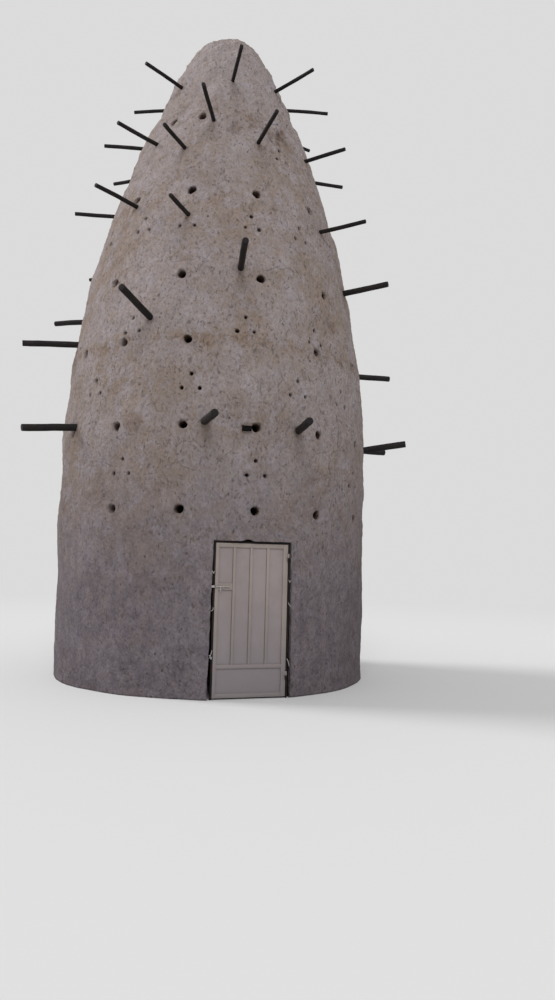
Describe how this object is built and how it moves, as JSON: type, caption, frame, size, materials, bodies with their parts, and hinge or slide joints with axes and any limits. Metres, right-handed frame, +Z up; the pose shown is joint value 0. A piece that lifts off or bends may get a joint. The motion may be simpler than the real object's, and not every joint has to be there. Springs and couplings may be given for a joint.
{
  "type": "mud pigeon tower",
  "caption": "Tall hollow beehive-shaped pigeon tower of plastered mud, with tiers of entrance holes, timber perches and a hinged steel door at its foot.",
  "frame": {"origin": "the tower's axis at ground level", "axes": "+Z up, -Y out through the door, +X to the right of someone facing the door from outside"},
  "size_m": [6.1492, 6.1506, 10.5002],
  "materials": {
    "mud_plaster": "rough hand-dabbed mud plaster",
    "timber": "dark weathered poles",
    "door_paint": "cream gloss paint, dusty",
    "frame_steel": "old dark paint, rusty",
    "bolt_steel": "bare zinc-coated steel"
  },
  "bodies": {
    "tower": {"base_back_left": "mud_plaster", "base_back_right": "mud_plaster", "base_front_left": "mud_plaster", "base_front_right": "mud_plaster", "bolt_keep": "bolt_steel", "cap": "mud_plaster", "crown_back": "mud_plaster", "crown_front": "mud_plaster", "door_frame": "frame_steel", "hinge_pins": "frame_steel", "lift_1_back": "mud_plaster", "lift_1_front": "mud_plaster", "lift_1_left_back": "mud_plaster", "lift_1_left_front": "mud_plaster", "lift_1_right_back": "mud_plaster", "lift_1_right_front": "mud_plaster", "lift_2_back": "mud_plaster", "lift_2_front": "mud_plaster", "lift_2_left": "mud_plaster", "lift_2_right": "mud_plaster", "lift_3_back": "mud_plaster", "lift_3_front": "mud_plaster", "lift_3_left": "mud_plaster", "lift_3_right": "mud_plaster", "lift_4_back": "mud_plaster", "lift_4_front": "mud_plaster", "lift_4_left": "mud_plaster", "lift_4_right": "mud_plaster", "lift_5_back": "mud_plaster", "lift_5_front": "mud_plaster", "lift_5_left": "mud_plaster", "lift_5_right": "mud_plaster", "perches_tier_1": "timber", "perches_tier_2": "timber", "perches_tier_3": "timber", "perches_tier_4": "timber", "perches_tier_5": "timber", "perches_tier_6": "timber", "timber_end": "timber"},
    "door_leaf": {"leaf_frame": "door_paint", "leaf_sheets": "door_paint", "leaf_battens": "door_paint", "lock_rail": "door_paint", "hinge_knuckles": "door_paint", "bolt_guides": "bolt_steel"},
    "bolt": {"slide_bolt": "bolt_steel"}
  },
  "joints": [
    {"name": "door_hinge", "type": "hinge", "parent": "tower", "child": "door_leaf", "pos_m": [0.498, -2.348, 1], "axis": [0, 0, 1], "range_deg": [0, 120]},
    {"name": "bolt_slide", "type": "slide", "parent": "door_leaf", "child": "bolt", "axis": [-1, 0, 0], "range_m": [0, 0.045]}
  ]
}
